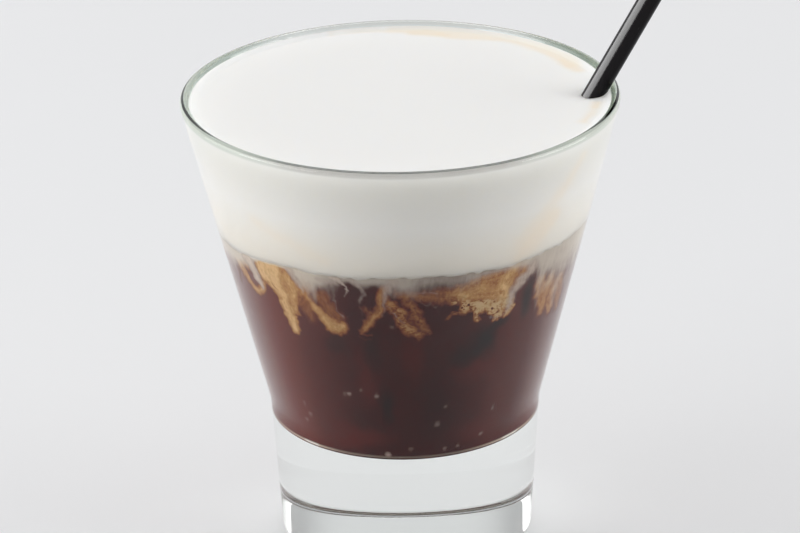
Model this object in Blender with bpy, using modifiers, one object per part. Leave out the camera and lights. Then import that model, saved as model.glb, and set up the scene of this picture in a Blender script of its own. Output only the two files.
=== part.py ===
"""Freddo cappuccino: a flared tumbler with a thick foot, iced coffee under cold milk foam, and a straw.

Metres, +Z up. The origin is the middle of the tumbler's underside. The straw leans towards +X.
"""
import math

import bmesh
import bpy
from mathutils import Matrix, Vector

MM = 0.001
GAP = 0.3 * MM                  # clearance between pieces that touch

# Tumbler: a straight cone standing on a thick, nearly straight foot
HEIGHT = 104.0 * MM
RIM_RADIUS = 48.1 * MM          # of the cone's line, before the lip is rounded
CONE_SLOPE = 0.253              # radius gained for each unit of height
WALL = 2.0 * MM                 # measured square to the cone
LIP_RADIUS = 0.9 * MM
FOOT_RADIUS = 28.1 * MM         # at the floor, before the heel is rounded
FOOT_SLOPE = 0.063
HEEL_RADIUS = 2.2 * MM
WAIST_RADIUS = 12.0 * MM        # fillet where the cone meets the foot
FLOOR_HEIGHT = 28.5 * MM        # top of the solid foot, inside
CORNER_RADIUS = 4.0 * MM        # between the inner floor and the wall

# Contents
COFFEE_LEVEL = 76.6 * MM
FOAM_LEVEL = 102.6 * MM
FOAM_EDGE_RADIUS = 0.8 * MM

# Straw: it stands on the inner floor and leans on the lip
STRAW_RADIUS = 2.35 * MM
STRAW_WALL = 0.35 * MM
STRAW_LENGTH = 150.0 * MM
STRAW_FOOT = Vector((1.5 * MM, -2.0 * MM))
STRAW_SIDE_AT_RIM = 2.0 * MM    # how far behind the middle it crosses the rim

TURN_STEPS = 96
STRAW_STEPS = 32
ARC_POINTS = 4                  # stretches in each rounded edge of a profile


def clear_scene():
    for old in list(bpy.data.objects):
        bpy.data.objects.remove(old, do_unlink=True)


def new_collection(name):
    collection = bpy.data.collections.new(name)
    bpy.context.scene.collection.children.link(collection)
    return collection


def new_material(name, color, roughness, metallic=0.0):
    material = bpy.data.materials.new(name)
    material.use_nodes = True
    shader = material.node_tree.nodes["Principled BSDF"]
    shader.inputs["Base Color"].default_value = (*color, 1.0)
    shader.inputs["Roughness"].default_value = roughness
    shader.inputs["Metallic"].default_value = metallic
    return material


def cone_radius(z):
    """Outer radius of the cone at height z."""
    return RIM_RADIUS - CONE_SLOPE * (HEIGHT - z)


def foot_radius(z):
    """Outer radius of the foot at height z."""
    return FOOT_RADIUS + FOOT_SLOPE * z


def inner_radius(z):
    """Radius of the straight inner wall at height z."""
    return cone_radius(z) - WALL * math.hypot(1.0, CONE_SLOPE)


def rounded(points, radii, segments=ARC_POINTS):
    """An outline of (radius, height) corners, with an arc of the given radius at each corner."""
    outline = []
    for index, point in enumerate(points):
        radius = radii[index]
        if radius == 0.0:
            outline.append(Vector(point))
            continue
        corner = Vector(point)
        before = (Vector(points[index - 1]) - corner).normalized()
        after = (Vector(points[index + 1]) - corner).normalized()
        half = before.angle(after) / 2.0
        centre = corner + (before + after).normalized() * (radius / math.sin(half))
        start = corner + before * (radius / math.tan(half)) - centre
        sweep = start.angle_signed(corner + after * (radius / math.tan(half)) - centre)
        for step in range(segments + 1):
            turn = Matrix.Rotation(-sweep * step / segments, 2)
            outline.append(centre + turn @ start)
    return outline


def turned(name, outline, collection, material, steps=TURN_STEPS, closed=False):
    """A solid turned about Z from an outline that runs down its outer side."""
    mesh = bpy.data.meshes.new(name)
    bm = bmesh.new()
    verts = [bm.verts.new((point[0], 0.0, point[1])) for point in outline]
    for first, second in zip(verts, verts[1:]):
        bm.edges.new((first, second))
    if closed:
        bm.edges.new((verts[-1], verts[0]))
    bm.to_mesh(mesh)
    bm.free()
    piece = bpy.data.objects.new(name, mesh)
    collection.objects.link(piece)
    piece.data.materials.append(material)
    screw = piece.modifiers.new("turn", "SCREW")
    screw.axis = "Z"
    screw.angle = math.tau
    screw.steps = steps
    screw.render_steps = steps
    screw.use_merge_vertices = True
    screw.merge_threshold = 0.00001
    screw.use_smooth_shade = True
    return piece


def cut(piece, cutter):
    boolean = piece.modifiers.new("cut", "BOOLEAN")
    boolean.operation = "DIFFERENCE"
    boolean.solver = "EXACT"
    boolean.object = cutter


def waist_height():
    """Height where the cone's line meets the foot's line."""
    return (RIM_RADIUS - CONE_SLOPE * HEIGHT - FOOT_RADIUS) / (FOOT_SLOPE - CONE_SLOPE)


def build_glass(collection):
    waist = waist_height()
    corners = [
        (0.0, FLOOR_HEIGHT),
        (inner_radius(FLOOR_HEIGHT), FLOOR_HEIGHT),
        (inner_radius(HEIGHT), HEIGHT),
        (RIM_RADIUS, HEIGHT),
        (foot_radius(waist), waist),
        (FOOT_RADIUS, 0.0),
        (0.0, 0.0),
    ]
    radii = [0.0, CORNER_RADIUS, LIP_RADIUS, LIP_RADIUS, WAIST_RADIUS, HEEL_RADIUS, 0.0]
    glass = new_material("clear_glass", (0.93, 0.96, 0.94), 0.02)
    return turned("glass", rounded(corners, radii), collection, glass)


def build_coffee(collection):
    low = FLOOR_HEIGHT + GAP
    top = COFFEE_LEVEL
    corners = [
        (0.0, top),
        (inner_radius(top) - GAP, top),
        (inner_radius(low) - GAP, low),
        (0.0, low),
    ]
    outline = rounded(corners, [0.0, 0.0, CORNER_RADIUS, 0.0])
    coffee = new_material("iced_coffee", (0.045, 0.014, 0.010), 0.15)
    return turned("coffee", outline, collection, coffee)


def build_foam(collection):
    low = COFFEE_LEVEL + GAP
    top = FOAM_LEVEL
    corners = [
        (0.0, top),
        (inner_radius(top) - GAP, top),
        (inner_radius(low) - GAP, low),
        (0.0, low),
    ]
    outline = rounded(corners, [0.0, FOAM_EDGE_RADIUS, 0.0, 0.0])
    foam = new_material("milk_foam", (0.86, 0.84, 0.79), 0.6)
    return turned("milk_foam", outline, collection, foam)


def straw_frame():
    """Matrix whose Z axis is the straw's axis and whose origin is the middle of its lower end."""
    lean = 0.0
    for _ in range(8):
        reach = STRAW_RADIUS / math.cos(lean) + GAP
        at_rim = Vector((inner_radius(HEIGHT - LIP_RADIUS) - reach, STRAW_SIDE_AT_RIM))
        lift = STRAW_RADIUS * math.sin(lean) + GAP
        foot = STRAW_FOOT.to_3d() + Vector((0.0, 0.0, FLOOR_HEIGHT + lift))
        axis = (at_rim.to_3d() + Vector((0.0, 0.0, HEIGHT - LIP_RADIUS)) - foot).normalized()
        lean = axis.angle(Vector((0.0, 0.0, 1.0)))
    return Matrix.Translation(foot) @ axis.to_track_quat("Z", "Y").to_matrix().to_4x4()


def build_straw(collection, frame):
    bore = STRAW_RADIUS - STRAW_WALL
    outline = [(bore, STRAW_LENGTH), (STRAW_RADIUS, STRAW_LENGTH), (STRAW_RADIUS, 0.0), (bore, 0.0)]
    black = new_material("black_plastic", (0.012, 0.010, 0.012), 0.22)
    straw = turned("straw", outline, collection, black, STRAW_STEPS, closed=True)
    straw.matrix_world = frame
    return straw


def build_straw_cutter(collection, frame):
    """A plain rod that clears the straw all round and runs out past the contents at both ends."""
    reach = 10.0 * MM
    length = STRAW_LENGTH + 2.0 * reach
    bpy.ops.mesh.primitive_cylinder_add(
        vertices=STRAW_STEPS, radius=STRAW_RADIUS + GAP, depth=length, end_fill_type="NGON")
    cutter = bpy.context.object
    cutter.name = "straw_cutter"
    for owner in list(cutter.users_collection):
        owner.objects.unlink(cutter)
    collection.objects.link(cutter)
    cutter.matrix_world = frame @ Matrix.Translation((0.0, 0.0, length / 2.0 - reach))
    cutter.hide_render = True
    cutter.display_type = "WIRE"
    return cutter


def main():
    clear_scene()
    parts = new_collection("freddo_cappuccino")
    cutters = new_collection("cutters")
    frame = straw_frame()
    cutter = build_straw_cutter(cutters, frame)
    build_glass(parts)
    cut(build_coffee(parts), cutter)
    cut(build_foam(parts), cutter)
    build_straw(parts, frame)


main()
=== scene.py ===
"""Looks of a freddo cappuccino: iced coffee under cold milk foam in a flared tumbler, with a straw."""
import math

import bmesh
import bpy
import numpy as np
from mathutils import Matrix, Vector


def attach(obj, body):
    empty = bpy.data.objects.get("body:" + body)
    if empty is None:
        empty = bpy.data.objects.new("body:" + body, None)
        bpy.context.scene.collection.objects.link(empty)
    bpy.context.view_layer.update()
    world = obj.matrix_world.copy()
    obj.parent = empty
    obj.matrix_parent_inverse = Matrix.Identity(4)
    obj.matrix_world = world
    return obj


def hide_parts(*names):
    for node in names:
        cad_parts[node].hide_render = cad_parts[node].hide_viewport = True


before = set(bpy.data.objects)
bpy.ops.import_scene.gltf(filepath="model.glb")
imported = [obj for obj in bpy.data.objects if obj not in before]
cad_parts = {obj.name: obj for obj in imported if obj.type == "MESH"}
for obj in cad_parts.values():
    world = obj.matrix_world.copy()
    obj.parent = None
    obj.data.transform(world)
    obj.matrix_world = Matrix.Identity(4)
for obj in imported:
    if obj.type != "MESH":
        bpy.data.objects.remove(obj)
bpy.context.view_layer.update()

MM = 0.001

# Tumbler, in the sizes of its solid
HEIGHT = 104.0 * MM
RIM_RADIUS = 48.1 * MM
CONE_SLOPE = 0.253
WALL = 2.0 * MM
LIP_RADIUS = 0.9 * MM
LIP_MIDDLE = RIM_RADIUS - 1.05 * MM      # from the axis to the top of the rounded lip
LIP_GREEN_FROM = 1.6 * MM        # the lip's green starts this far under its top
LIP_GREEN_FULL = 0.9 * MM        # and is full this far under it
LIP_CREST = 0.18 * MM            # how far down the lip's crest carries its painted dark line
FOOT_RADIUS = 28.1 * MM
FOOT_SLOPE = 0.063
HEEL_RADIUS = 2.2 * MM
WAIST_RADIUS = 12.0 * MM
FLOOR_HEIGHT = 28.5 * MM
CORNER_RADIUS = 4.0 * MM
RING_WIDTH = 1.0 * MM            # it stands on a narrow ring round its hollow underside
HOLLOW = 0.3 * MM

# Contents: they reach just into the wall, so that no air shows between them and the glass
BITE = 0.08 * MM
COFFEE_LEVEL = 76.6 * MM
FOAM_LEVEL = 102.6 * MM
MENISCUS = 0.5 * MM              # the foam climbs this much where it meets the wall
FOAM_SKIRT = 1.2 * MM            # and runs on this far down behind the top of the coffee
FOAM_CLIMB = 1.6 * MM            # how far in from the wall it starts to climb
FOAM_CLIMB_RADIUS = 1.5 * MM
MARBLED_DEPTH = 19.5 * MM        # how far under the foam the milk's plumes reach
EDGE_BEND = 4.0                  # mm under which the drink's edge no longer bends the rows of its skin
EDGE_RIPPLE = 0.25               # mm that small ripples add to the edge
EDGE_FROM = 0.9                  # points within this share of the wall's radius stay level

DIMPLE = 0.8 * MM                # the straw has pressed a dimple in the foam, mostly on its left
DIMPLE_WIDTH = 3.4 * MM
DIMPLE_ASIDE = Vector((-1.6 * MM, -1.0 * MM))
DIMPLE_SKIN = 1.0 * MM           # only points this close to the foam's top are pressed down

# Straw
STRAW_RADIUS = 2.35 * MM
STRAW_WALL = 0.35 * MM
STRAW_LENGTH = 150.0 * MM
STRAW_FOOT = Vector((1.5 * MM, -2.0 * MM))
STRAW_SIDE_AT_RIM = 2.0 * MM     # how far behind the middle it crosses the rim
STRAW_EDGE = 0.1 * MM
GAP = 0.3 * MM                   # clearance between the straw and the glass

SHARP = math.radians(50.0)       # edges that turn by more than this stay crisp
MERGE = 0.002 * MM               # points closer than this are one point
JUST_INSIDE = 0.01 * MM          # keeps a flat end out of the stretch that is cut finely

# How finely each piece is cut: along its outline, and steps in one turn
GLASS_PITCH, GLASS_STEPS = 1.0 * MM, 256
MARBLED_PITCH, DRINK_PITCH, DRINK_STEPS = 0.28 * MM, 0.7 * MM, 768
DRINK_END_PITCH = 8.0 * MM
FOAM_PITCH, FOAM_STEPS = 0.8 * MM, 320
STRAW_PITCH, STRAW_STEPS = 5.0 * MM, 64

# View
CAMERA_DISTANCE = 0.85
CAMERA_ELEVATION = math.radians(23.1)
CAMERA_ROLL = math.radians(-1.0)
CAMERA_AIM = Vector((-0.65 * MM, 0.0, 62.9 * MM))
CAMERA_LENS = 172.8
CAMERA_SENSOR = 36.0
CAMERA_NEAR = 0.01

# Colours of the glass
CLEAR = (1.0, 1.0, 1.0)
GLASS_SHADOW = (0.96, 0.965, 0.963)
GLASS_BODY = (0.80, 0.93, 0.86)
GLASS_DENSITY = 3.0
# The lip's green, deepened as painted shade; then painted shade and reflection on its inner and outer halves
# and a painted dark line on its crest, each set by where round the glass it lies
LIP_GREEN_AND_SHADE = (0.80, 0.84, 0.80)
LIP_INNER_SIDE_SHADE = (0.26, 0.33, 0.27)
LIP_INNER_RIGHT_SHADE = (0.11, 0.16, 0.11)
LIP_OUTER_MIDDLE_SHADE = (0.50, 0.49, 0.475)
LIP_OUTER_SIDE_SHADE = (0.58, 0.65, 0.59)
CREST_MIDDLE_SHADE = (0.03, 0.036, 0.031)
CREST_SIDE_SHADE = (0.34, 0.41, 0.35)
CREST_BEHIND_SHADE = (0.45, 0.47, 0.45)

# Colours of the drink
DRINK_DEEP = (0.036, 0.0016, 0.0015)
DRINK_THIN = (0.052, 0.0030, 0.0026)
# Painted light: the drink lighter and redder near its sides, as if light came through its thin edges
DRINK_PAINTED_GLOW = (0.145, 0.020, 0.012)
DRINK_RED = (0.13, 0.010, 0.006)
DRINK_OVER_ICE = (0.012, 0.002, 0.0025)
DRINK_PINS = (0.24, 0.10, 0.07)
DRINK_FLECK = (0.42, 0.30, 0.26)
# Painted sheen: the drink paler where it is seen edge-on
DRINK_EDGE_SHEEN = (0.58, 0.53, 0.52)
# Painted light: the drink's underside pale, for the light seen through the foot
DRINK_UNDERSIDE_PAINTED_LIGHT = (0.42, 0.385, 0.34)
# Painted highlight in the round corner at the drink's foot, white where it is brightest
RING_AMBER_HIGHLIGHT = (0.80, 0.66, 0.52)
RING_WHITE_HIGHLIGHT = (1.0, 0.95, 0.88)
PLUME_SHADES = [
    (0.0, (0.10, 0.014, 0.008)), (0.22, (0.14, 0.030, 0.014)), (0.40, (0.22, 0.070, 0.022)),
    (0.58, (0.37, 0.16, 0.050)), (0.78, (0.50, 0.28, 0.10)), (1.0, (0.70, 0.46, 0.22)),
]
LACE_SHADE = (0.50, 0.38, 0.22)
HAZE_GREY = (0.41, 0.35, 0.30)
HAZE_CREAMY = (0.72, 0.65, 0.55)
VEIL_SHADES = [
    (0.2, (0.34, 0.26, 0.23)), (0.6, (0.47, 0.38, 0.32)), (0.85, (0.62, 0.52, 0.44)),
    (1.0, (0.84, 0.76, 0.70)),
]

# Sizes of the blotches in the drink along each axis, the last in mm along and across the milk's flow
BROAD_BLOTCHES = (9.0 * MM, 9.0 * MM, 9.0 * MM)
PATCHY_BLOTCHES = (2.4 * MM, 2.4 * MM, 3.2 * MM)
CURLED_BLOTCHES = (1.5 * MM, 1.5 * MM, 1.5 * MM)
HANGING_BLOTCHES = (0.7 * MM, 0.7 * MM, 4.0 * MM)
FINE_BLOTCHES = (0.5 * MM, 0.5 * MM, 0.8 * MM)
FLOWING_BLOTCHES = (6.0, 0.6, 1.0)
PIN_SIZE = 1.7 * MM              # one cell of the fine pinpricks of light in the drink
HOLE_SIZE = 1.5 * MM             # and one of the round holes in the lace

# The foam's colour at some heights of its side, creamier towards the drink and darker than its top as
# painted shade, darkest just under the rim, and that of its dense white top
FOAM_SIDE_CREAM_AND_SHADE = [
    (COFFEE_LEVEL - 4.0 * MM, (0.83, 0.775, 0.675)), (COFFEE_LEVEL + 13.0 * MM, (0.865, 0.853, 0.826)),
    (FOAM_LEVEL - 1.2 * MM, (0.79, 0.78, 0.745)), (FOAM_LEVEL + MENISCUS, (0.77, 0.76, 0.725)),
]
FOAM_TOP = (0.90, 0.888, 0.868)
FOAM_STAIN = (0.90, 0.785, 0.65)
FOAM_TURN = 0.3 * MM             # how far in from the wall the side's creamier colour and painted shade give way to the top's
FOAM_GLOW = 5.5 * MM             # how far light spreads in the foam

STRAW_BLACK = (0.004, 0.0035, 0.004)
TABLE_WHITE = (0.82, 0.82, 0.83)
TABLE_REACH = 6.0

# The room's light, its colour as seen, and its brightness in front, at the sides and added at the back
ROOM_LIGHT = (0.985, 0.995, 1.0)
ROOM_SEEN = (0.80, 0.81, 0.82)
ROOM_FRONT = 0.16
ROOM_SIDES = 0.49
ROOM_BACK = 0.22

# Lamps: name, place, what it is aimed at, width, height, watts
AIM_LOW = (0.0, 0.0, 0.05)
AIM_MIDDLE = (0.0, 0.0, 0.08)
ROOM_LAMPS = [
    ("key_softbox", (-0.98, -0.45, 0.32), AIM_MIDDLE, 0.9, 0.4, 3.8),
    ("left_softbox", (-1.1, 0.1, 0.45), AIM_LOW, 0.9, 0.8, 4.0),
    ("right_softbox", (1.1, -0.12, 0.24), AIM_MIDDLE, 0.9, 0.4, 4.1),
    ("high_right_softbox", (1.1, 0.1, 0.65), AIM_LOW, 0.9, 0.4, 1.3),
    ("back_softbox", (0.0, 1.4, 2.2), AIM_LOW, 1.6, 1.2, 21.8),
]
STRAW_AIM = (0.05, 0.0, 0.13)
STRAW_LAMPS = [
    ("straw_softbox", (-0.98, -0.21, 0.39), STRAW_AIM, 1.6, 0.42, 62.0),
    ("straw_side_softbox", (1.1, -0.3, 0.5), STRAW_AIM, 0.8, 0.8, 12.0),
]


# ---------------------------------------------------------------- shapes

def cone_radius(z):
    """Outer radius of the tumbler's cone at a height."""
    return RIM_RADIUS - CONE_SLOPE * (HEIGHT - z)


def inner_radius(z):
    """Inner radius of its wall at a height."""
    return cone_radius(z) - WALL * math.hypot(1.0, CONE_SLOPE)


def outline(corners):
    """A wire of (radius, height, rounding) corners in the XZ plane, each rounded as asked."""
    bm = bmesh.new()
    verts = [bm.verts.new((radius, 0.0, height)) for radius, height, _ in corners]
    for first, second in zip(verts, verts[1:]):
        bm.edges.new((first, second))
    for index, (_, _, rounding) in enumerate(corners):
        if rounding == 0.0:
            continue
        here = verts[index].co
        before = Vector(corners[index - 1][:2]) - Vector((here.x, here.z))
        after = Vector(corners[index + 1][:2]) - Vector((here.x, here.z))
        reach = rounding / math.tan(before.angle(after) / 2.0)
        bmesh.ops.bevel(bm, geom=[verts[index]], offset=reach, offset_type="OFFSET", segments=10,
                        profile=0.5, affect="VERTICES", material=-1)
    return bm


def divide(bm, pitch, low=-1.0, high=1.0):
    """Cuts the wire's long edges between two heights into even stretches."""
    for edge in list(bm.edges):
        middle = (edge.verts[0].co.z + edge.verts[1].co.z) / 2.0
        cuts = math.ceil(edge.calc_length() / pitch) - 1
        if cuts > 0 and low < middle < high:
            bmesh.ops.subdivide_edges(bm, edges=[edge], cuts=cuts)


def turn(bm, steps, doublings=5):
    """Turns the wire once round Z into a closed skin: a narrow wedge is spun, then copied round."""
    wedges = 2 ** doublings
    angle = math.tau / wedges
    bmesh.ops.spin(bm, geom=bm.verts[:] + bm.edges[:], cent=(0, 0, 0), axis=(0, 0, 1),
                   angle=angle, steps=steps // wedges, use_merge=False, use_duplicate=False)
    for _ in range(doublings):
        copy = bmesh.ops.duplicate(bm, geom=bm.verts[:] + bm.edges[:] + bm.faces[:])["geom"]
        verts = [item for item in copy if isinstance(item, bmesh.types.BMVert)]
        bmesh.ops.rotate(bm, verts=verts, cent=(0, 0, 0), matrix=Matrix.Rotation(angle, 3, "Z"))
        angle *= 2.0
    bmesh.ops.remove_doubles(bm, verts=bm.verts, dist=MERGE)
    bmesh.ops.recalc_face_normals(bm, faces=bm.faces)


def finished(bm, name, material, node):
    """The mesh as a smooth piece that stands for a node of the frame."""
    mesh = bpy.data.meshes.new(name)
    bm.to_mesh(mesh)
    bm.free()
    mesh.shade_smooth()
    mesh.set_sharp_from_angle(angle=SHARP)
    piece = bpy.data.objects.new(name, mesh)
    bpy.context.scene.collection.objects.link(piece)
    mesh.materials.append(material)
    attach(piece, "root")
    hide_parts(node)
    return piece


def build_glass(material):
    """The tumbler, from the inner floor over the lip and down to the hollow underside."""
    waist = (RIM_RADIUS - CONE_SLOPE * HEIGHT - FOOT_RADIUS) / (FOOT_SLOPE - CONE_SLOPE)
    bm = outline([
        (0.0, FLOOR_HEIGHT, 0.0),
        (inner_radius(FLOOR_HEIGHT), FLOOR_HEIGHT, CORNER_RADIUS),
        (inner_radius(HEIGHT), HEIGHT, LIP_RADIUS),
        (RIM_RADIUS, HEIGHT, LIP_RADIUS),
        (FOOT_RADIUS + FOOT_SLOPE * waist, waist, WAIST_RADIUS),
        (FOOT_RADIUS, 0.0, HEEL_RADIUS),
        (FOOT_RADIUS - HEEL_RADIUS - RING_WIDTH, 0.0, 0.0),
        (FOOT_RADIUS - HEEL_RADIUS - 2.0 * RING_WIDTH, HOLLOW, 0.0),
        (0.0, HOLLOW, 0.0),
    ])
    divide(bm, GLASS_PITCH)
    turn(bm, GLASS_STEPS)
    return finished(bm, "tumbler", material, "glass")


def build_coffee(material):
    """The drink, cut finely where milk marbles it."""
    top = COFFEE_LEVEL
    low = FLOOR_HEIGHT - BITE
    marbled = top - MARBLED_DEPTH
    bm = outline([
        (0.0, top, 0.0),
        (inner_radius(top) + BITE, top, 0.0),
        (inner_radius(marbled) + BITE, marbled, 0.0),
        (inner_radius(low) + BITE, low, CORNER_RADIUS),
        (0.0, low, 0.0),
    ])
    divide(bm, MARBLED_PITCH, marbled, top - JUST_INSIDE)
    divide(bm, DRINK_PITCH, low + JUST_INSIDE, marbled)
    divide(bm, DRINK_END_PITCH)
    turn(bm, DRINK_STEPS)
    raise_edge(bm)
    piece = finished(bm, "coffee_drink", material, "coffee")
    paint_marbling(piece.data)
    return piece


def build_foam(material):
    """The foam, which climbs a little at the wall and runs down behind the drink's edge."""
    top = FOAM_LEVEL
    edge = FOAM_LEVEL + MENISCUS
    low = COFFEE_LEVEL - FOAM_SKIRT
    bm = outline([
        (0.0, top, 0.0),
        (inner_radius(top) - FOAM_CLIMB, top, FOAM_CLIMB_RADIUS),
        (inner_radius(edge) + BITE, edge, 0.0),
        (inner_radius(low) + BITE / 2.0, low, 0.0),
        (0.0, low, 0.0),
    ])
    divide(bm, FOAM_PITCH)
    turn(bm, FOAM_STEPS)
    sink_round_straw(bm)
    piece = finished(bm, "cold_foam", material, "milk_foam")
    paint_stains(piece.data)
    return piece


def sink_round_straw(bm):
    """Presses the foam's top down a little where the straw goes in."""
    leaning = straw_frame()
    along = (FOAM_LEVEL - leaning.translation.z) / leaning.col[2].z
    hole = leaning.translation + leaning.col[2].xyz * along
    for vert in bm.verts:
        if vert.co.z > FOAM_LEVEL - DIMPLE_SKIN:
            apart = (vert.co.xy - hole.xy - DIMPLE_ASIDE).length / DIMPLE_WIDTH
            vert.co.z -= DIMPLE * math.exp(-apart * apart)


def straw_frame():
    """Matrix whose Z axis is the straw's axis and whose origin is the middle of its lower end."""
    lean = 0.0
    for _ in range(8):
        reach = STRAW_RADIUS / math.cos(lean) + GAP
        at_rim = Vector((inner_radius(HEIGHT - LIP_RADIUS) - reach, STRAW_SIDE_AT_RIM))
        lift = STRAW_RADIUS * math.sin(lean) + GAP
        foot = STRAW_FOOT.to_3d() + Vector((0.0, 0.0, FLOOR_HEIGHT + lift))
        axis = (at_rim.to_3d() + Vector((0.0, 0.0, HEIGHT - LIP_RADIUS)) - foot).normalized()
        lean = axis.angle(Vector((0.0, 0.0, 1.0)))
    return Matrix.Translation(foot) @ axis.to_track_quat("Z", "Y").to_matrix().to_4x4()


def build_straw(material):
    """A straight open tube with softened ends."""
    bore = STRAW_RADIUS - STRAW_WALL
    bm = bmesh.new()
    corners = [(bore, STRAW_LENGTH), (STRAW_RADIUS, STRAW_LENGTH), (STRAW_RADIUS, 0.0), (bore, 0.0)]
    verts = [bm.verts.new((radius, 0.0, height)) for radius, height in corners]
    for first, second in zip(verts, verts[1:] + verts[:1]):
        bm.edges.new((first, second))
    bmesh.ops.bevel(bm, geom=verts, offset=STRAW_EDGE, offset_type="OFFSET", segments=4,
                    profile=0.5, affect="VERTICES", material=-1)
    divide(bm, STRAW_PITCH)
    turn(bm, STRAW_STEPS)
    bm.transform(straw_frame())
    return finished(bm, "straw_tube", material, "straw")


# ---------------------------------------------------------------- marbling

# Milk that has sunk into the coffee along the wall. Each streak has a strength, from 0 to 1, the softness
# of its edge in mm, and a path of (degrees round the wall from the front, mm under the foam, half width
# in mm).
# Warm plumes, golden where they are thick and brown where they are thin:
PLUMES = [
    # hook at the left
    (0.78, 0.8, [(-63.5, 3.4, 1.6), (-62.5, 5.0, 1.8), (-60, 6.8, 1.5), (-57.5, 8.4, 1.4), (-55, 9.0, 1.6),
                 (-52.5, 8.0, 1.3), (-51, 6.4, 1.3)]),
    (0.40, 0.8, [(-66, 6.2, 0.8), (-67, 8.5, 0.7), (-67, 10.2, 0.5)]),
    (0.60, 1.2, [(-66, 2.0, 1.6), (-62, 2.8, 2.0), (-58.5, 3.6, 1.6)]),
    # first long finger, under a broad patch
    (0.95, 0.6, [(-47, 0.8, 4.0), (-46.3, 3.0, 3.8), (-45, 5.5, 2.8), (-42.8, 8.0, 2.0), (-41.5, 11.0, 1.9),
                 (-40.7, 14.0, 1.9), (-40, 15.4, 1.6)]),
    (0.74, 1.3, [(-41, 0.8, 2.6), (-40, 3.0, 2.7), (-38.5, 5.5, 2.6), (-38, 8.0, 2.0), (-38.5, 10.5, 1.4)]),
    # second finger, with a broad smooth tongue
    (0.60, 1.4, [(-36.5, 3.2, 1.1), (-34, 5.1, 1.3), (-31.5, 6.8, 1.3), (-29.5, 8.7, 1.5)]),
    (0.80, 1.1, [(-30, 8.3, 1.2), (-27, 10.8, 1.8), (-24.5, 12.4, 2.2), (-22, 13.0, 2.0),
                 (-20.5, 12.6, 1.4)]),
    # thin brown milk between and beside the fingers
    (0.44, 3.0, [(-32, 3.4, 2.2), (-34, 7.5, 2.6), (-32.5, 11.0, 2.0)]),
    (0.38, 3.5, [(-27, 5.4, 2.4), (-24, 8.5, 2.6), (-22, 10.5, 2.0)]),
    (0.30, 2.5, [(-12, 7.0, 1.2), (-10.5, 9.0, 1.2)]),
    # column left of the middle, with a curl at its foot
    (0.66, 0.8, [(-5.6, 1.8, 1.2), (-6.8, 3.4, 1.2), (-7.6, 5.5, 1.2), (-8.4, 7.8, 1.2), (-10.2, 10.0, 1.1),
                 (-12.5, 12.0, 1.1), (-14.0, 13.2, 0.8)]),
    (0.40, 0.4, [(-14.8, 13.8, 0.2), (-13, 14.5, 0.25), (-11, 14.3, 0.2)]),
    (0.45, 0.3, [(-15.5, 14.7, 0.1), (-13.5, 15.6, 0.15), (-11, 15.2, 0.1)]),
    # broad cluster right of the middle
    (0.38, 2.8, [(-2, 3.4, 1.4), (4, 3.8, 1.8), (11, 4.0, 2.2), (16, 4.2, 2.6)]),
    (0.58, 2.0, [(14, 4.0, 1.4), (18, 3.6, 2.2), (23, 2.6, 2.4), (28, 2.0, 2.4), (33, 1.6, 2.2)]),
    (0.68, 1.6, [(19, 4.8, 1.8), (24, 5.0, 2.4), (29, 5.4, 2.8), (33, 6.8, 2.8), (34.5, 8.8, 2.4)]),
    (0.78, 1.4, [(37.5, -0.2, 1.6), (35.5, 1.6, 2.2), (34, 3.6, 2.4), (33.5, 6.0, 2.4)]),
    (0.62, 1.2, [(41, -0.2, 1.6), (39.5, 2.6, 1.6), (38, 5.0, 1.4)]),
    # fingers at the right
    (0.62, 2.4, [(49.5, 6.0, 2.0), (51.5, 9.5, 2.4), (53.5, 12.6, 2.4), (54, 14.8, 1.8)]),
    (0.60, 2.4, [(55.5, 8.0, 2.4), (58, 12.0, 2.4), (60, 15.6, 2.2)]),
    (0.52, 2.4, [(62, 9.0, 2.4), (65, 13.5, 2.4), (66, 17.0, 1.6)]),
]
# Lacy milk, broken into small curls:
LACES = [
    (0.60, 1.2, [(-5.5, 4.5, 1.0), (-3.5, 6.2, 1.4), (-1.3, 8.9, 1.8), (0.5, 11.3, 1.9), (3, 13.4, 1.6),
                 (5.5, 14.6, 0.9)]),
    (0.48, 1.2, [(-0.5, 3.6, 1.0), (1.5, 5.5, 1.4), (4, 8.2, 1.6), (6, 11.4, 1.4), (7, 13.5, 0.9)]),
    (0.50, 1.2, [(-2, 3.0, 0.8), (3, 3.9, 1.1), (8, 4.4, 1.3), (12, 4.9, 1.3), (15.5, 5.4, 1.4)]),
    (0.85, 0.9, [(16.5, 5.2, 1.5), (19, 6.6, 1.7), (22, 7.6, 1.8), (25, 8.0, 2.0), (30, 8.4, 2.2),
                 (35, 8.8, 2.0)]),
    (1.00, 0.5, [(25, 8.6, 1.6), (25, 11.0, 1.2)]),
    (1.00, 0.5, [(31.5, 9.6, 2.0), (32.8, 12.2, 1.5)]),
    (1.00, 0.5, [(36.5, 8.0, 1.6), (36.6, 11.6, 1.3)]),
    (0.75, 0.4, [(20, 8.8, 0.6), (17, 9.0, 0.5), (15.5, 9.9, 0.45), (13, 10.8, 0.2)]),
]
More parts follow.
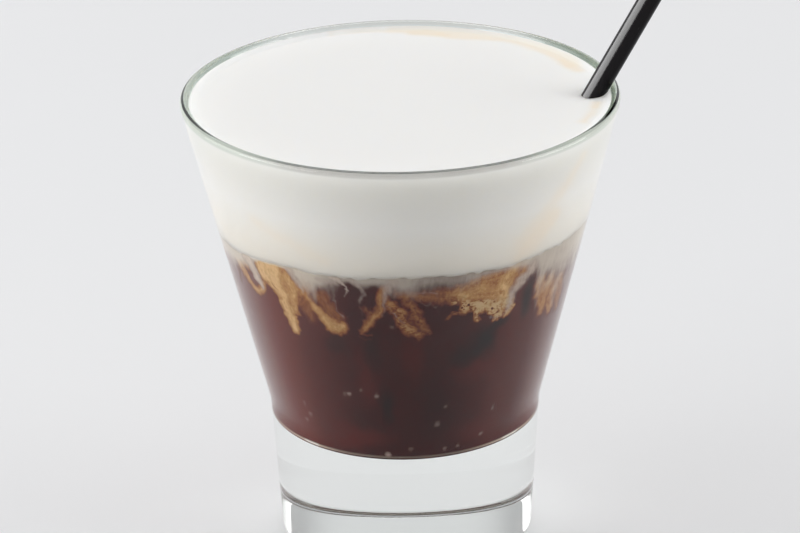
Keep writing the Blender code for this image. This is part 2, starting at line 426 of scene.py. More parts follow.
# Cool veils close to the wall, grey where they are thin and creamy where they are thick:
VEILS = [
    (0.82, 1.4, [(-57.5, 0.8, 2.2), (-55.5, 2.2, 2.1), (-54, 3.8, 1.9), (-52.8, 5.8, 1.5),
                 (-52.5, 7.4, 0.9)]),
    (0.75, 1.2, [(-37.2, 0.0, 1.2), (-36, 1.8, 1.1), (-34.7, 3.6, 0.9), (-33.5, 5.2, 0.4)]),
    (0.60, 1.0, [(-27, 1.0, 0.8), (-24, 1.2, 0.9), (-21.5, 1.0, 0.8)]),
    (1.00, 0.4, [(-23, -0.1, 0.5), (-20.5, 0.1, 0.7), (-19.2, 0.8, 0.4), (-18.8, 2.6, 0.22),
                 (-18.8, 4.6, 0.12)]),
    (0.50, 0.4, [(-22.5, 4.2, 0.2), (-21.5, 6.4, 0.25), (-20.8, 9.5, 0.3), (-20.5, 10.6, 0.15)]),
    (0.40, 0.4, [(-28, 4.7, 0.15), (-25, 6.6, 0.15), (-23, 7.8, 0.15)]),
    (0.52, 1.0, [(-15.5, 0.2, 1.2), (-14.2, 1.6, 0.9), (-13.7, 3.4, 0.7), (-13.7, 5.4, 0.4)]),
    (0.30, 0.3, [(-13.7, 5.2, 0.25), (-13.4, 7.6, 0.2), (-12.7, 11.0, 0.15)]),
    (0.30, 0.3, [(-12, 5.5, 0.15), (-11.5, 8.0, 0.15), (-11, 10.0, 0.1)]),
    (0.60, 1.2, [(-3.5, 0.8, 1.8), (-5, 2.6, 1.2), (-5.9, 4.6, 0.8), (-6.5, 6.4, 0.4), (-7.2, 8.5, 0.2)]),
    (0.50, 0.3, [(-5.5, 6.4, 0.2), (-3.5, 8.0, 0.25), (-2, 9.4, 0.25), (-0.5, 11.0, 0.2)]),
    (0.55, 0.3, [(5.5, 5.0, 0.1), (6, 5.9, 0.15), (7, 6.6, 0.15), (8, 6.2, 0.15), (9, 5.3, 0.1),
                 (9, 6.0, 0.1), (10, 6.9, 0.15), (11, 6.7, 0.1)]),
    (0.50, 0.4, [(0.5, 3.0, 0.3), (4, 3.2, 0.25), (7, 2.9, 0.25), (9.5, 3.3, 0.2)]),
    (0.64, 2.2, [(44.0, 1.4, 2.0), (40.6, 3.8, 2.0), (38, 6.2, 1.7), (37.3, 8.8, 1.4), (36.6, 10.8, 1.0)]),
    (0.50, 0.8, [(36, 11.6, 0.5), (33, 12.2, 0.5), (30.5, 11.8, 0.4)]),
]
# Gaps, where the dark coffee shows through the milk:
GAPS = [
    (0.60, 0.3, [(-53, 3.9, 0.15), (-52.5, 4.3, 0.25)]),
    (0.80, 0.4, [(-49.5, 6.6, 0.3), (-48.3, 7.4, 0.5)]),
    (0.60, 0.3, [(-46.5, 5.6, 0.2), (-45.5, 6.3, 0.3)]),
    (0.90, 0.6, [(-17, 1.4, 0.4), (-16.5, 2.4, 0.8), (-16.5, 4.6, 1.0)]),
    (0.90, 0.6, [(-9.5, 1.9, 0.8), (-10, 3.0, 1.1), (-10.5, 5.0, 1.1)]),
    (0.85, 0.5, [(28.5, 12.2, 0.6), (28.2, 10.4, 0.4)]),
    (0.85, 0.4, [(18, 10.0, 0.4), (20.5, 10.2, 0.7), (22, 11.0, 0.4)]),
    (0.45, 0.4, [(32, 6.0, 0.4), (33.5, 6.6, 0.5)]),
    (1.00, 0.5, [(46.3, 3.9, 0.15), (45, 6.0, 0.7), (44, 8.5, 1.3), (43.5, 11.5, 1.8), (43.5, 15.0, 2.4)]),
    (0.40, 0.6, [(57, 9.5, 0.3), (56, 12.0, 0.4)]),
]
# Where the drink meets the foam, round the wall: (degrees, how high its edge lies in mm, how deep the haze
# of milk under it reaches in mm, how thick the haze is, how creamy it is, how strongly the drink below is
# painted lighter and redder, painted light that stands for light coming through its thin edges)
SHORE = [
    (-180, 0.0, 3.0, 0.80, 0.4, 0.2), (-150, 0.8, 6.0, 0.90, 0.5, 0.4), (-120, -0.3, 3.5, 0.80, 0.3, 0.7),
    (-95, -0.8, 5.0, 0.90, 0.6, 0.9), (-75, -1.0, 7.0, 0.95, 0.7, 1.0), (-67, -1.1, 6.5, 0.95, 0.7, 1.0),
    (-62, -1.2, 3.5, 0.95, 0.7, 1.0), (-56, -0.7, 3.0, 1.00, 0.8, 1.0), (-50, -0.2, 0.7, 0.80, 0.8, 1.0),
    (-43, 0.2, 0.5, 0.70, 0.8, 0.8), (-38, 0.3, 1.2, 0.90, 0.8, 0.5), (-34, 0.5, 4.4, 0.95, 0.7, 0.4),
    (-30, 0.2, 6.0, 0.95, 0.6, 0.3), (-26, 0.3, 5.6, 0.88, 0.45, 0.2), (-21, 0.3, 3.6, 0.68, 0.1, 0.1),
    (-17, 0.2, 1.4, 0.85, 0.2, 0.0), (-14, 0.35, 2.4, 0.90, 0.2, 0.0), (-9, 0.6, 2.0, 0.90, 0.2, 0.0),
    (-4, 0.75, 3.8, 0.95, 0.2, 0.0), (1, 0.85, 4.8, 0.90, 0.1, 0.0), (6, 0.95, 4.6, 0.70, 0.1, 0.0),
    (11, 0.85, 4.4, 0.64, 0.1, 0.0), (16, 0.75, 4.2, 0.60, 0.1, 0.0), (21, 0.6, 3.8, 0.68, 0.2, 0.0),
    (26, 0.55, 2.6, 0.65, 0.3, 0.1), (31, 0.4, 2.0, 0.60, 0.4, 0.2), (35, 0.35, 1.2, 0.60, 0.5, 0.3),
    (40, 0.7, 2.6, 0.85, 0.5, 0.4), (45, 0.8, 4.0, 0.90, 0.4, 0.35), (50, 0.9, 11.5, 0.86, 0.4, 0.4),
    (57, 0.75, 13.0, 0.84, 0.4, 0.55), (64, 1.1, 14.0, 0.86, 0.5, 0.7), (72, 1.4, 12.0, 0.97, 0.8, 0.8),
    (85, 0.7, 8.0, 0.90, 0.5, 0.8), (105, 0.0, 3.5, 0.80, 0.3, 0.7), (125, -0.6, 6.5, 0.90, 0.5, 0.4),
    (150, 0.5, 3.0, 0.80, 0.3, 0.2), (180, 0.0, 3.0, 0.80, 0.4, 0.2),
]
# Patches in the body of the drink, darker over ice (below 0) or redder: amount, degrees and mm under the
# foam of the middle, half width and half height in mm
PATCHES = [
    (-0.9, 44.5, 9.5, 1.8, 5.5), (-1.0, 29, 17.5, 3.6, 4.0), (-0.8, 34, 13.5, 2.6, 2.2),
    (-0.7, 22, 21.0, 3.2, 2.6), (-0.8, -7, 33.0, 1.8, 5.0), (-0.5, -11, 18.0, 2.0, 6.0),
    (-0.4, 12, 33.0, 4.0, 7.0), (-0.4, -24, 17.0, 3.0, 3.0), (0.30, 27, 25.0, 6.0, 3.2),
    (0.35, -14, 26.0, 3.0, 6.0), (0.30, 3, 20.0, 3.0, 5.0), (0.25, 30, 42.0, 7.0, 3.0),
    (0.50, -20, 42.0, 8.0, 3.0), (-0.8, -150, 20.0, 6.0, 7.0), (-0.8, 110, 24.0, 6.0, 7.0),
    (-0.7, 165, 30.0, 7.0, 6.0), (-0.7, -94, 27.0, 5.0, 7.0), (-0.5, -116, 15.0, 4.0, 4.0),
]
# Small flecks: degrees and mm under the foam, radius in mm, strength
FLECKS = [
    (-22, 30.4, 0.45, 0.7), (-24, 30.6, 0.35, 0.5), (-11, 30.2, 0.45, 0.6), (-8, 46.2, 0.60, 1.0),
    (34, 43.2, 0.45, 0.5), (23, 45.0, 0.40, 0.4), (17, 45.3, 0.40, 0.4), (2, 44.6, 0.50, 0.3),
    (13, 38.2, 0.55, 0.4), (16, 33.6, 0.35, 0.3), (38, 36.8, 0.40, 0.4), (-43, 38.5, 0.55, 0.3),
    (-46, 40.5, 0.50, 0.3), (-45, 36.0, 0.40, 0.3), (-66, 17.0, 0.35, 0.5), (-60, 22.0, 0.30, 0.4),
    (-4, 11.8, 0.45, 0.2), (-17, 29.0, 0.30, 0.3), (120, 40.0, 0.50, 0.6), (-130, 34.0, 0.50, 0.6),
    (170, 44.0, 0.50, 0.5),
]
# Where coffee has stained the foam, in the same form, but in mm under its edge, or below 0 in over its top:
STAINS = [
    (0.80, 2.4, [(182, -1.6, 1.8), (170, -2.2, 3.2), (163, -2.6, 3.8), (154, -2.2, 3.2), (147, -1.4, 2.4),
                 (137, -1.4, 2.4), (128, -1.9, 2.5), (119, -2.4, 2.6), (112, -3.0, 1.6)]),
    (1.00, 2.2, [(176, -2.6, 1.8), (170, -3.4, 2.2), (165, -4.2, 1.4)]),
    (1.00, 2.2, [(122, -3.0, 1.2), (116, -3.2, 1.6)]),
    (0.60, 1.4, [(-160, -0.8, 1.0), (-168, -1.0, 1.2), (-176, -1.6, 1.2)]),
    (1.00, 2.0, [(84, -3.0, 1.0), (80, -3.2, 1.2)]),
    (0.60, 2.4, [(79, -3.2, 1.2), (68, -3.6, 1.4)]),
    (0.40, 5.0, [(57, 4.0, 1.4), (52, 9.2, 2.0), (45, 14.5, 2.6), (38, 20.5, 3.0)]),
    (0.60, 6.0, [(37, 24.0, 2.0), (42, 21.0, 3.4), (48, 16.5, 3.4)]),
    (0.30, 5.0, [(-47, 16.0, 2.0), (-34, 19.0, 2.0), (-24, 22.0, 2.0)]),
    (0.40, 3.0, [(-120, 10.0, 2.0), (-135, 16.0, 2.6), (-150, 20.0, 1.6)]),
    (0.45, 3.0, [(110, 22.0, 2.0), (135, 20.0, 2.4), (160, 23.0, 1.6)]),
]
# Painted highlight, light gathered in the round corner at the drink's foot: (degrees, strength)
LIGHT_RING = FLOOR_HEIGHT + 1.0 * MM
SHINE = [
    (-180, 0.25), (-110, 0.4), (-75, 0.5), (-62, 0.7), (-54, 0.82), (-50, 1.0), (-44, 1.0), (-40, 0.75),
    (-28, 0.4), (0, 0.25), (25, 0.3), (38, 0.6), (46, 0.84), (50, 1.0), (58, 1.0), (63, 0.8), (80, 0.5),
    (120, 0.4), (180, 0.25),
]
# Swirls that bend and fray the milk: size in mm, how far they carry it in mm, seed
SMOOTH_SWIRLS = [(5.0, 0.28, 11), (2.2, 0.15, 12), (1.1, 0.12, 13), (0.7, 0.06, 14)]
LACY_SWIRLS = [(3.0, 0.30, 21), (1.4, 0.18, 22), (0.7, 0.08, 23)]
SWIRL_STEPS = 6
CORE_DEPTH = 1.3                 # mm in from its edge, a streak is at its thickest
EDGE_SHARE = 0.50                # how thick its edge is next to that
FLOW_APART = 3.7                 # keeps the fibres of each streak unlike those of the next
WALL_ROUND = math.tau * inner_radius(COFFEE_LEVEL) / MM      # mm round the wall, level with the foam's foot
LATTICE_ROWS = 64
# Plumes all round where the front's own streaks end: degrees between them, and the stretch that they cover
SEEDED_SPACING = 8.5
SEEDED_FROM, SEEDED_TO = 80.0, 282.0
SEEDED_DRAW = 31
# Gentle random hills that make edges uneven: size in mm, seed
EDGE_HILLS = (1.6, 41)
FRINGE_HILLS = (2.6, 42)
THREAD_HILLS = (0.9, 43)
PATCH_HILLS = (2.6, 44)
STAIN_HILLS = (3.0, 51)


def seeded_plumes():
    """More plumes of the same kind, for the sides and the back."""
    draw = np.random.default_rng(SEEDED_DRAW)
    plumes = []
    for middle in np.arange(SEEDED_FROM, SEEDED_TO, SEEDED_SPACING):
        angle = middle + draw.uniform(-4.0, 4.0)
        depth = draw.uniform(0.4, 1.6)
        half = draw.uniform(1.6, 4.2)
        path = [(angle, depth, half)]
        for _ in range(int(draw.integers(2, 6))):
            angle += draw.uniform(-3.6, 3.6)
            depth += draw.uniform(1.4, 3.0)
            half *= draw.uniform(0.62, 0.98)
            path.append((angle, depth, half))
        plumes.append((draw.uniform(0.45, 0.95), draw.uniform(0.8, 2.2), path))
    return plumes


def hills(across, down, size, seed):
    """Smooth random heights from -1 to 1 on the unrolled wall, with hills of a size in mm."""
    columns = round(WALL_ROUND / size)
    lattice = np.random.default_rng(seed).uniform(-1.0, 1.0, (columns, LATTICE_ROWS))
    x = across / WALL_ROUND * columns
    y = down / size
    column = np.floor(x).astype(int)
    row = np.floor(y).astype(int)
    x = x - column
    y = y - row
    x = x * x * x * (x * (6.0 * x - 15.0) + 10.0)
    y = y * y * y * (y * (6.0 * y - 15.0) + 10.0)

    def corner(right, below):
        return lattice[(column + right) % columns, (row + below) % LATTICE_ROWS]

    upper = corner(0, 0) * (1.0 - x) + corner(1, 0) * x
    lower = corner(0, 1) * (1.0 - x) + corner(1, 1) * x
    return upper * (1.0 - y) + lower * y


def swirl(across, down, swirls):
    """Carries points along the eddies of each swirl, less and less close to the foam."""
    hold = np.clip(down / 2.0, 0.15, 1.0)
    for size, reach, seed in swirls:
        step = 0.05 * size
        for _ in range(SWIRL_STEPS):
            slope_down = hills(across, down + step, size, seed) - hills(across, down - step, size, seed)
            slope_across = hills(across + step, down, size, seed) - hills(across - step, down, size, seed)
            push = hold * reach / SWIRL_STEPS * size / (2.0 * step)
            across = across + slope_down * push
            down = down - slope_across * push
    return across, down


def mm_round(degrees):
    """Degrees round the wall in mm."""
    return degrees / 360.0 * WALL_ROUND


def from_place(across, degrees):
    """How far right of a place round the wall each point lies, in mm."""
    return (across - mm_round(degrees) + WALL_ROUND / 2.0) % WALL_ROUND - WALL_ROUND / 2.0


def thickness(across, down, streaks):
    """For each point how thick the milk is, and its place along and across the main streak there in mm."""
    total = np.zeros(len(across))
    most = np.zeros(len(across))
    flow = np.zeros((len(across), 3))
    for number, (strength, softness, path) in enumerate(streaks):
        begun = 0.0
        layer = np.zeros(len(across))
        for start, end in zip(path, path[1:]):
            run = mm_round(end[0] - start[0])
            drop = end[1] - start[1]
            length = math.hypot(run, drop)
            right = from_place(across, start[0])
            below = down - start[1]
            along = np.clip((right * run + below * drop) / length, 0.0, length)
            aside = (right * drop - below * run) / length
            apart = np.hypot(right - along * run / length, below - along * drop / length)
            half = start[2] + along / length * (end[2] - start[2])
            rise = np.clip((half - apart) / softness + 0.5, 0.0, 1.0)
            core = np.clip((half - apart) / CORE_DEPTH, 0.0, 1.0)
            here = strength * rise * rise * (3.0 - 2.0 * rise) * (EDGE_SHARE + (1.0 - EDGE_SHARE) * core)
            layer = np.maximum(layer, here)
            wins = here > most
            most = np.where(wins, here, most)
            place = np.stack([begun + along, aside, np.full(len(across), FLOW_APART * number)], axis=1)
            flow[wins] = place[wins]
            begun += length
        total += layer ** 3
    return np.minimum(np.cbrt(total), 1.0), flow


def shore(across):
    """The edge's height, and the haze's reach, thickness, creaminess and painted reddish light, round the
    wall.
    """
    degrees = (across / WALL_ROUND * 360.0 + 180.0) % 360.0 - 180.0
    table = np.array(SHORE)
    return [np.interp(degrees, table[:, 0], table[:, column]) for column in range(1, 6)]


def raise_edge(bm):
    """Bends the drink's level edge up and down as the foam's foot lies on it."""
    for vert in bm.verts:
        down = (COFFEE_LEVEL - vert.co.z) / MM
        out = vert.co.xy.length / inner_radius(vert.co.z)
        if down > EDGE_BEND or out < EDGE_FROM:
            continue
        across = math.atan2(vert.co.x, -vert.co.y) / math.tau * WALL_ROUND
        ripple = float(hills(np.array([across]), np.array([0.0]), *EDGE_HILLS)[0])
        bend = 1.0 - max(down, 0.0) / EDGE_BEND
        lift = (float(shore(np.array([across]))[0][0]) + EDGE_RIPPLE * ripple) * bend
        vert.co.z += lift * MM
        grown = (inner_radius(vert.co.z) + BITE) / vert.co.xy.length
        vert.co.x *= grown
        vert.co.y *= grown


def place_scale(down):
    """How much shorter a degree is lower down, where the tumbler is narrower."""
    return 1.0 - CONE_SLOPE * down * MM / inner_radius(COFFEE_LEVEL)


def haze_under_foam(across, down):
    """How thick the haze of milk is, how creamy it is, and how strongly the drink below it is painted
    lighter and redder as painted light.
    """
    edge, reach, thick, cream, painted_glow = shore(across)
    fringe = hills(across, down * 0.4, *FRINGE_HILLS) + 0.5 * hills(across, down * 0.3, *THREAD_HILLS)
    sunk = (down + edge) / (reach * (1.0 + 0.30 * fringe))
    haze = thick * (1.0 - np.clip((sunk - 0.30) / 1.15, 0.0, 1.0)) ** 1.5
    return haze, cream, painted_glow


def patches_in_drink(across, down):
    """How much darker, below 0, or redder the body of the drink is."""
    body = np.zeros(len(across))
    uneven = 1.0 + 0.25 * hills(across, down, *PATCH_HILLS)
    for amount, degrees, middle, half_width, half_height in PATCHES:
        apart = np.hypot(from_place(across, degrees) / half_width, (down - middle) / half_height)
        body += amount * np.clip(1.4 - apart * uneven, 0.0, 1.0)
    return body


def flecks_in_drink(across, down):
    """Where the small round flecks are."""
    fleck = np.zeros(len(across))
    for degrees, middle, radius, strength in FLECKS:
        apart = np.hypot(from_place(across, degrees) * place_scale(down), down - middle) / radius
        fleck = np.maximum(fleck, strength * np.clip(1.5 - apart, 0.0, 1.0))
    return fleck


def points_of(mesh):
    """Where the mesh's points are, and how far round the wall in mm."""
    place = np.zeros(len(mesh.vertices) * 3)
    mesh.vertices.foreach_get("co", place)
    place = place.reshape(-1, 3)
    return place, np.arctan2(place[:, 0], -place[:, 1]) / math.tau * WALL_ROUND


def paint(mesh, name, values):
    """Writes a number on each point of the mesh, for its material to read."""
    mesh.attributes.new(name, "FLOAT", "POINT").data.foreach_set("value", values)


def paint_marbling(mesh):
    """Paints the drink's points with the milk, the painted reddish light near its sides, patches, flecks and
    ring of light.
    """
    place, across = points_of(mesh)
    down = (COFFEE_LEVEL - place[:, 2]) / MM
    smooth = swirl(across, down, SMOOTH_SWIRLS)
    plume, flow = thickness(*smooth, PLUMES + seeded_plumes())
    lace, _ = thickness(*swirl(across, down, LACY_SWIRLS), LACES)
    veil, _ = thickness(*smooth, VEILS)
    gap, _ = thickness(*smooth, GAPS)
    haze, cream, painted_glow = haze_under_foam(across, down)
    kept = 1.0 - gap
    paint(mesh, "shine", np.interp(across / WALL_ROUND * 360.0, *np.array(SHINE).T))
    paint(mesh, "plume", plume * kept)
    paint(mesh, "lace", lace * kept)
    paint(mesh, "veil", veil * kept)
    paint(mesh, "haze", haze * kept)
    paint(mesh, "cream", cream)
    paint(mesh, "painted_glow", painted_glow)
    paint(mesh, "body", patches_in_drink(across, down))
    paint(mesh, "fleck", flecks_in_drink(across, down))
    mesh.attributes.new("flow", "FLOAT_VECTOR", "POINT").data.foreach_set("vector", flow.ravel())


def paint_stains(mesh):
    """Paints the foam's points with the stains, and marks those on its side, which take the side's painted
    shade.
    """
    place, across = points_of(mesh)
    inwards = inner_radius(place[:, 2]) - np.hypot(place[:, 0], place[:, 1])
    down = (FOAM_LEVEL - place[:, 2] - np.maximum(inwards, 0.0)) / MM
    down = down + 0.5 * hills(across, down + 50.0, *STAIN_HILLS)
    stain, _ = thickness(across, down, STAINS)
    paint(mesh, "stain", stain)
    paint(mesh, "side", np.clip(1.0 - inwards / FOAM_TURN, 0.0, 1.0))


# ---------------------------------------------------------------- nodes

def new_material(name):
    """A new material, with its node tree and its main shader."""
    material = bpy.data.materials.new(name)
    material.use_nodes = True
    return material, material.node_tree, material.node_tree.nodes["Principled BSDF"]


def feed(tree, socket, value):
    """Links a socket to another node's output, or sets it to a number or an opaque colour."""
    if isinstance(value, bpy.types.NodeSocket):
        tree.links.new(value, socket)
    elif isinstance(value, tuple):
        socket.default_value = (*value, 1.0)
    else:
        socket.default_value = value


def split_vector(tree, vector):
    """The X, Y and Z of a vector."""
    split = tree.nodes.new("ShaderNodeSeparateXYZ")
    tree.links.new(vector, split.inputs["Vector"])
    return split.outputs["X"], split.outputs["Y"], split.outputs["Z"]


def piece_place(tree):
    """The place of each point of the piece."""
    return tree.nodes.new("ShaderNodeTexCoord").outputs["Object"]


def calculate(tree, operation, *values):
    node = tree.nodes.new("ShaderNodeMath")
    node.operation = operation
    for socket, value in zip(node.inputs, values):
        feed(tree, socket, value)
    return node.outputs["Value"]


def times(tree, first, *others):
    for other in others:
        first = calculate(tree, "MULTIPLY", first, other)
    return first


def band(tree, value, start, end, low=0.0, high=1.0, shape="SMOOTHSTEP"):
    """Goes from low to high while the value goes from start to end."""
    node = tree.nodes.new("ShaderNodeMapRange")
    node.interpolation_type = shape
    for socket, setting in zip(node.inputs, (value, start, end, low, high)):
        feed(tree, socket, setting)
    return node.outputs["Result"]


def blend(tree, level, under, over):
    """Two colours mixed, all of the second where the level is 1."""
    node = tree.nodes.new("ShaderNodeMix")
    node.data_type = "RGBA"
    feed(tree, node.inputs["Factor"], level)
    feed(tree, node.inputs[6], under)
    feed(tree, node.inputs[7], over)
    return node.outputs[2]


def ramp(tree, level, stops):
    """A colour for each level, from stops of (level, colour)."""
    node = tree.nodes.new("ShaderNodeValToRGB")
    tree.links.new(level, node.inputs["Fac"])
    for number, (position, color) in enumerate(stops):
        if number < 2:
            stop = node.color_ramp.elements[number]
            stop.position = position
        else:
            stop = node.color_ramp.elements.new(position)
        stop.color = (*color, 1.0)
    return node.outputs["Color"]


def field(tree, name, output="Fac"):
    """What was painted on the piece's points under a name."""
    node = tree.nodes.new("ShaderNodeAttribute")
    node.attribute_name = name
    return node.outputs[output]


def scaled(tree, place, size):
    """The place counted in steps of a size along each axis."""
    stretch = tree.nodes.new("ShaderNodeMapping")
    stretch.vector_type = "TEXTURE"
    stretch.inputs["Scale"].default_value = size
    tree.links.new(place, stretch.inputs["Vector"])
    return stretch.outputs["Vector"]


def cloud(tree, place, size, detail=3.0, distortion=0.0):
    """Noise from about 0.3 to 0.7, with blotches of a size along each axis."""
    node = tree.nodes.new("ShaderNodeTexNoise")
    tree.links.new(scaled(tree, place, size), node.inputs["Vector"])
    node.inputs["Scale"].default_value = 1.0
    node.inputs["Detail"].default_value = detail
    node.inputs["Distortion"].default_value = distortion
    return node.outputs["Fac"]


def specks(tree, place, size, radius, share):
    """Round dots, one in each of a share of the cells of a size."""
    node = tree.nodes.new("ShaderNodeTexVoronoi")
    tree.links.new(scaled(tree, place, (size, size, size)), node.inputs["Vector"])
    node.inputs["Scale"].default_value = 1.0
    split = tree.nodes.new("ShaderNodeSeparateColor")
    tree.links.new(node.outputs["Color"], split.inputs["Color"])
    chosen = calculate(tree, "LESS_THAN", split.outputs["Red"], share)
    return times(tree, band(tree, node.outputs["Distance"], radius, radius * 0.4), chosen)


def frayed(tree, edge, rough, amount):
    """The field with noise added where it is neither empty nor full."""
    swing = calculate(tree, "MULTIPLY_ADD", rough, amount, -amount / 2.0)
    room = calculate(tree, "MINIMUM", times(tree, edge, 4.0), 1.0)
    return calculate(tree, "MULTIPLY_ADD", swing, room, edge)


# ---------------------------------------------------------------- materials

def distance_from_axis(tree, x, y):
    flat = tree.nodes.new("ShaderNodeCombineXYZ")
    tree.links.new(x, flat.inputs["X"])
    tree.links.new(y, flat.inputs["Y"])
    length = tree.nodes.new("ShaderNodeVectorMath")
    length.operation = "LENGTH"
    tree.links.new(flat.outputs["Vector"], length.inputs[0])
    return length.outputs["Value"]


def lip_green_and_painted_shade(tree):
    """Clear below the lip and green in it. Painted shade and reflection lie over the green, set by where
    round the glass it lies: a darker inner half at the sides and the right, a darker outer half in the
    middle and at the sides, and a painted dark line on the outer half of its crest, darkest in front.
    """
    x, y, z = split_vector(tree, piece_place(tree))
    radius = distance_from_axis(tree, x, y)
    beside = calculate(tree, "ABSOLUTE", x)

    lip = band(tree, z, HEIGHT - LIP_GREEN_FROM, HEIGHT - LIP_GREEN_FULL)
    crest = band(tree, z, HEIGHT - 1.3 * LIP_CREST, HEIGHT - 0.7 * LIP_CREST)
    inner = band(tree, radius, LIP_MIDDLE + 0.10 * MM, LIP_MIDDLE - 0.15 * MM)
    outer = band(tree, radius, LIP_MIDDLE - 0.15 * MM, LIP_MIDDLE + 0.10 * MM)
    outer_crest = band(tree, radius, LIP_MIDDLE - 0.35 * MM, LIP_MIDDLE - 0.15 * MM)
    middle = band(tree, beside, 0.80 * RIM_RADIUS, 0.40 * RIM_RADIUS)
    side = band(tree, beside, 0.45 * RIM_RADIUS, 0.80 * RIM_RADIUS)
    right = band(tree, x, 0.50 * RIM_RADIUS, 0.85 * RIM_RADIUS)
    behind = band(tree, y, 0.35 * RIM_RADIUS, 0.80 * RIM_RADIUS)

    color = blend(tree, lip, CLEAR, LIP_GREEN_AND_SHADE)
    color = blend(tree, times(tree, lip, inner, side), color, LIP_INNER_SIDE_SHADE)
    color = blend(tree, times(tree, lip, inner, right), color, LIP_INNER_RIGHT_SHADE)
    color = blend(tree, times(tree, lip, outer, middle), color, LIP_OUTER_MIDDLE_SHADE)
    color = blend(tree, times(tree, lip, outer, side), color, LIP_OUTER_SIDE_SHADE)
    # painted dark line of shade along the crest: darkest in front, paler at the sides and behind
    dark = blend(tree, behind, blend(tree, side, CREST_MIDDLE_SHADE, CREST_SIDE_SHADE), CREST_BEHIND_SHADE)
    return blend(tree, times(tree, crest, outer_crest), color, dark)


def glass_material():
    """Clear glass with a faint green tint and painted shade on its lip, which lets the light through to what
    lies behind it.
    """
    material, tree, shader = new_material("clear_glass")
    tree.links.new(lip_green_and_painted_shade(tree), shader.inputs["Base Color"])
    shader.inputs["Roughness"].default_value = 0.0
    shader.inputs["IOR"].default_value = 1.5
    shader.inputs["Transmission Weight"].default_value = 1.0
    paths = tree.nodes.new("ShaderNodeLightPath")
    clear = tree.nodes.new("ShaderNodeBsdfTransparent")
    feed(tree, clear.inputs["Color"], GLASS_SHADOW)
    mix = tree.nodes.new("ShaderNodeMixShader")
    out = tree.nodes["Material Output"]
    tree.links.new(paths.outputs["Is Shadow Ray"], mix.inputs["Fac"])
    tree.links.new(shader.outputs["BSDF"], mix.inputs[1])
    tree.links.new(clear.outputs["BSDF"], mix.inputs[2])
    tree.links.new(mix.outputs["Shader"], out.inputs["Surface"])
    tint = tree.nodes.new("ShaderNodeVolumeAbsorption")
    feed(tree, tint.inputs["Color"], GLASS_BODY)
    tint.inputs["Density"].default_value = GLASS_DENSITY
    tree.links.new(tint.outputs["Volume"], out.inputs["Volume"])
    return material


def ring_of_light(tree, height):
    """Where the painted highlight lies: a narrow ring in the round corner at the drink's foot."""
    below = band(tree, height, LIGHT_RING - 0.45 * MM, LIGHT_RING)
    above = band(tree, height, LIGHT_RING + 0.7 * MM, LIGHT_RING)
    return times(tree, below, above)


def drink_color(tree, place, patchy):
    """Nearly black coffee, darker over the ice, with painted light: redder near its sides, paler where seen
    edge-on as a painted sheen, a painted highlight ring in the corner at its foot and a pale painted
    underside.
    """
    _, _, height = split_vector(tree, place)
    color = blend(tree, cloud(tree, place, BROAD_BLOTCHES, 2.0), DRINK_DEEP, DRINK_THIN)
    # painted light: the drink lighter and redder where light would come through its edges
    color = blend(tree, field(tree, "painted_glow"), color, DRINK_PAINTED_GLOW)
    color = blend(tree, calculate(tree, "MAXIMUM", field(tree, "body"), 0.0), color, DRINK_RED)
    over_ice = calculate(tree, "MAXIMUM", times(tree, field(tree, "body"), -1.0), 0.0)
    color = blend(tree, over_ice, color, DRINK_OVER_ICE)
    pins = times(tree, specks(tree, place, PIN_SIZE, 0.16, 0.35), band(tree, patchy, 0.50, 0.62))
    color = blend(tree, times(tree, pins, 0.45), color, DRINK_PINS)
    # painted highlight: an amber ring of light, white where it is brightest
    ring = ring_of_light(tree, height)
    color = blend(tree, times(tree, ring, field(tree, "shine")), color, RING_AMBER_HIGHLIGHT)
    brightest = band(tree, field(tree, "shine"), 0.88, 1.0)
    color = blend(tree, times(tree, ring, brightest), color, RING_WHITE_HIGHLIGHT)
    color = blend(tree, field(tree, "fleck"), color, DRINK_FLECK)
    # painted sheen: the drink paler where its surface is seen edge-on, clear of its foot
    facing = tree.nodes.new("ShaderNodeLayerWeight").outputs["Facing"]
    clear_of_foot = band(tree, height, LIGHT_RING + 3.0 * MM, LIGHT_RING + 8.0 * MM)
    painted_edge_sheen = times(tree, band(tree, facing, 0.20, 0.325, 0.0, 0.40), clear_of_foot)
    color = blend(tree, painted_edge_sheen, color, DRINK_EDGE_SHEEN)
    # painted light: the drink's flat underside pale, brightening what is seen through the foot
    under = calculate(tree, "LESS_THAN", height, FLOOR_HEIGHT - BITE / 2.0)
    return blend(tree, under, color, DRINK_UNDERSIDE_PAINTED_LIGHT)


def with_warm_milk(tree, color, place, fine, patchy):
    """Adds the golden milk, in smooth plumes and in lace."""
    fibre = cloud(tree, field(tree, "flow", "Vector"), FLOWING_BLOTCHES, 2.0)
    curls = cloud(tree, place, CURLED_BLOTCHES, 3.0, 2.2)
    plume = frayed(tree, frayed(tree, field(tree, "plume"), fibre, 0.36), fine, 0.42)
    plume = frayed(tree, plume, patchy, 0.40)
    lace = times(tree, field(tree, "lace"), band(tree, curls, 0.30, 0.60, 0.45, 1.10))
    thick = band(tree, field(tree, "lace"), 0.35, 0.7)
    holes = times(tree, specks(tree, place, HOLE_SIZE, 0.30, 0.60), thick)
    lace = times(tree, lace, calculate(tree, "SUBTRACT", 1.0, times(tree, holes, 0.9)))
    milk = calculate(tree, "MAXIMUM", plume, lace)
    warm = ramp(tree, milk, PLUME_SHADES)
    warm = blend(tree, times(tree, band(tree, lace, 0.5, 1.0), 0.55), warm, LACE_SHADE)
    return blend(tree, band(tree, milk, 0.02, 0.24), color, warm)


